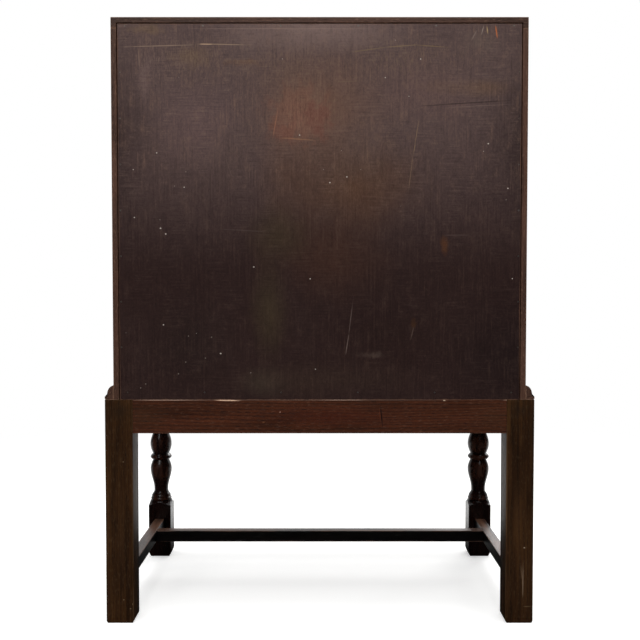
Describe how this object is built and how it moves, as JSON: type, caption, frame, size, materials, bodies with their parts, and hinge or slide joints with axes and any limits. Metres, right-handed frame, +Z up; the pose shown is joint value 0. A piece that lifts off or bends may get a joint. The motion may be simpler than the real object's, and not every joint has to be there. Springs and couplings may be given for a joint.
{
  "type": "slant-front desk",
  "caption": "Slant-front writing desk: a fall-front carcase with drawers, lopers and pigeonholes, on a stand with turned front legs and stretchers.",
  "frame": {"origin": "on the floor, under the middle of the whole desk", "axes": "+Z up, -Y towards the person at the desk, +X to their right"},
  "size_m": [0.762, 0.449, 1.072],
  "materials": {
    "turned_legs": "dark stained oak, waxed gloss",
    "legs": "dark stained oak, worn wax",
    "stand_rails": "reddish dark stained oak",
    "stretchers": "dark stained oak, worn tops",
    "moulding": "dark stained oak, worn arrises",
    "carcase": "dark stained oak, satin",
    "fall": "dark stained oak, satin",
    "drawer_fronts": "dark stained oak, satin",
    "back_panel": "dark stained plywood, scuffed",
    "drawer_wood": "unstained oak, aged",
    "fitting": "stained oak, satin",
    "brass": "aged brass",
    "steel": "dull iron"
  },
  "bodies": {
    "desk": {"leg_front_left": "turned_legs", "leg_front_right": "turned_legs", "leg_back_left": "legs", "leg_back_right": "legs", "stand_rail_back": "stand_rails", "stand_rail_front": "stand_rails", "stand_rail_left": "stand_rails", "stand_rail_right": "stand_rails", "stretcher_left": "stretchers", "stretcher_right": "stretchers", "stretcher_cross": "stretchers", "base_moulding_left": "moulding", "base_moulding_right": "moulding", "base_moulding_front": "moulding", "side_left": "carcase", "side_right": "carcase", "top_board": "carcase", "bottom_board": "carcase", "drawer_rail": "carcase", "loper_rail": "carcase", "fall_bearer": "carcase", "writing_bed": "carcase", "fall_stop": "carcase", "back_panel": "back_panel", "corner_blocks": "drawer_wood", "drawer_runners": "drawer_wood", "loper_guides": "drawer_wood", "fitting_shelf": "fitting", "fitting_uprights": "fitting", "fitting_valances": "fitting", "bed_hinge_leaves": "brass", "strike_plate": "brass", "back_panel_pins": "steel", "hinge_pins": "steel"},
    "fall": {"fall_panel": "fall", "fall_cleat_left": "fall", "fall_cleat_right": "fall", "fall_hinge_leaves": "brass", "lock_case": "brass", "escutcheon": "brass"},
    "lock_bolt": {"lock_bolt": "steel"},
    "key": {"key": "steel"},
    "loper_left": {"loper_left": "drawer_fronts", "loper_knob_left": "brass"},
    "loper_right": {"loper_right": "drawer_fronts", "loper_knob_right": "brass"},
    "upper_drawer": {"upper_drawer_front": "drawer_fronts", "upper_drawer_box": "drawer_wood", "upper_drawer_bottom": "drawer_wood", "upper_drawer_handle_plates": "brass"},
    "upper_bail_left": {"upper_drawer_bail_left": "brass"},
    "upper_bail_right": {"upper_drawer_bail_right": "brass"},
    "lower_drawer": {"lower_drawer_front": "drawer_fronts", "lower_drawer_box": "drawer_wood", "lower_drawer_bottom": "drawer_wood", "lower_drawer_handle_plates": "brass"},
    "lower_bail_left": {"lower_drawer_bail_left": "brass"},
    "lower_bail_right": {"lower_drawer_bail_right": "brass"},
    "small_drawer_left": {"small_drawer_left": "fitting"},
    "small_drawer_right": {"small_drawer_right": "fitting"}
  },
  "joints": [
    {"name": "fall_hinge", "type": "hinge", "parent": "desk", "child": "fall", "pos_m": [0, -0.1895, 0.747], "axis": [1, 0, 0], "range_deg": [0, 123]},
    {"name": "key_turn", "type": "hinge", "parent": "fall", "child": "key", "pos_m": [0, -0.02553, 1.03438], "axis": [0, -0.8387, 0.5446], "range_deg": [0, 180]},
    {"name": "bolt_slide", "type": "slide", "parent": "fall", "child": "lock_bolt", "axis": [0, 0.5446, 0.8387], "range_m": [0, 0.007]},
    {"name": "loper_left_slide", "type": "slide", "parent": "desk", "child": "loper_left", "axis": [0, -1, 0], "range_m": [0, 0.23]},
    {"name": "loper_right_slide", "type": "slide", "parent": "desk", "child": "loper_right", "axis": [0, -1, 0], "range_m": [0, 0.23]},
    {"name": "upper_drawer_slide", "type": "slide", "parent": "desk", "child": "upper_drawer", "axis": [0, -1, 0], "range_m": [0, 0.28]},
    {"name": "lower_drawer_slide", "type": "slide", "parent": "desk", "child": "lower_drawer", "axis": [0, -1, 0], "range_m": [0, 0.28]},
    {"name": "small_drawer_left_slide", "type": "slide", "parent": "desk", "child": "small_drawer_left", "axis": [0, -1, 0], "range_m": [0, 0.12]},
    {"name": "small_drawer_right_slide", "type": "slide", "parent": "desk", "child": "small_drawer_right", "axis": [0, -1, 0], "range_m": [0, 0.12]},
    {"name": "upper_bail_left_swing", "type": "hinge", "parent": "upper_drawer", "child": "upper_bail_left", "pos_m": [-0.215, -0.2205, 0.6239], "axis": [-1, 0, 0], "range_deg": [0, 80]},
    {"name": "upper_bail_right_swing", "type": "hinge", "parent": "upper_drawer", "child": "upper_bail_right", "pos_m": [0.215, -0.2205, 0.6239], "axis": [-1, 0, 0], "range_deg": [0, 80]},
    {"name": "lower_bail_left_swing", "type": "hinge", "parent": "lower_drawer", "child": "lower_bail_left", "pos_m": [-0.215, -0.2205, 0.4962], "axis": [-1, 0, 0], "range_deg": [0, 80]},
    {"name": "lower_bail_right_swing", "type": "hinge", "parent": "lower_drawer", "child": "lower_bail_right", "pos_m": [0.215, -0.2205, 0.4962], "axis": [-1, 0, 0], "range_deg": [0, 80]}
  ],
  "couplings": [
    {"joint": "key_turn", "follows": "bolt_slide", "rad_per_m": 448.79}
  ]
}
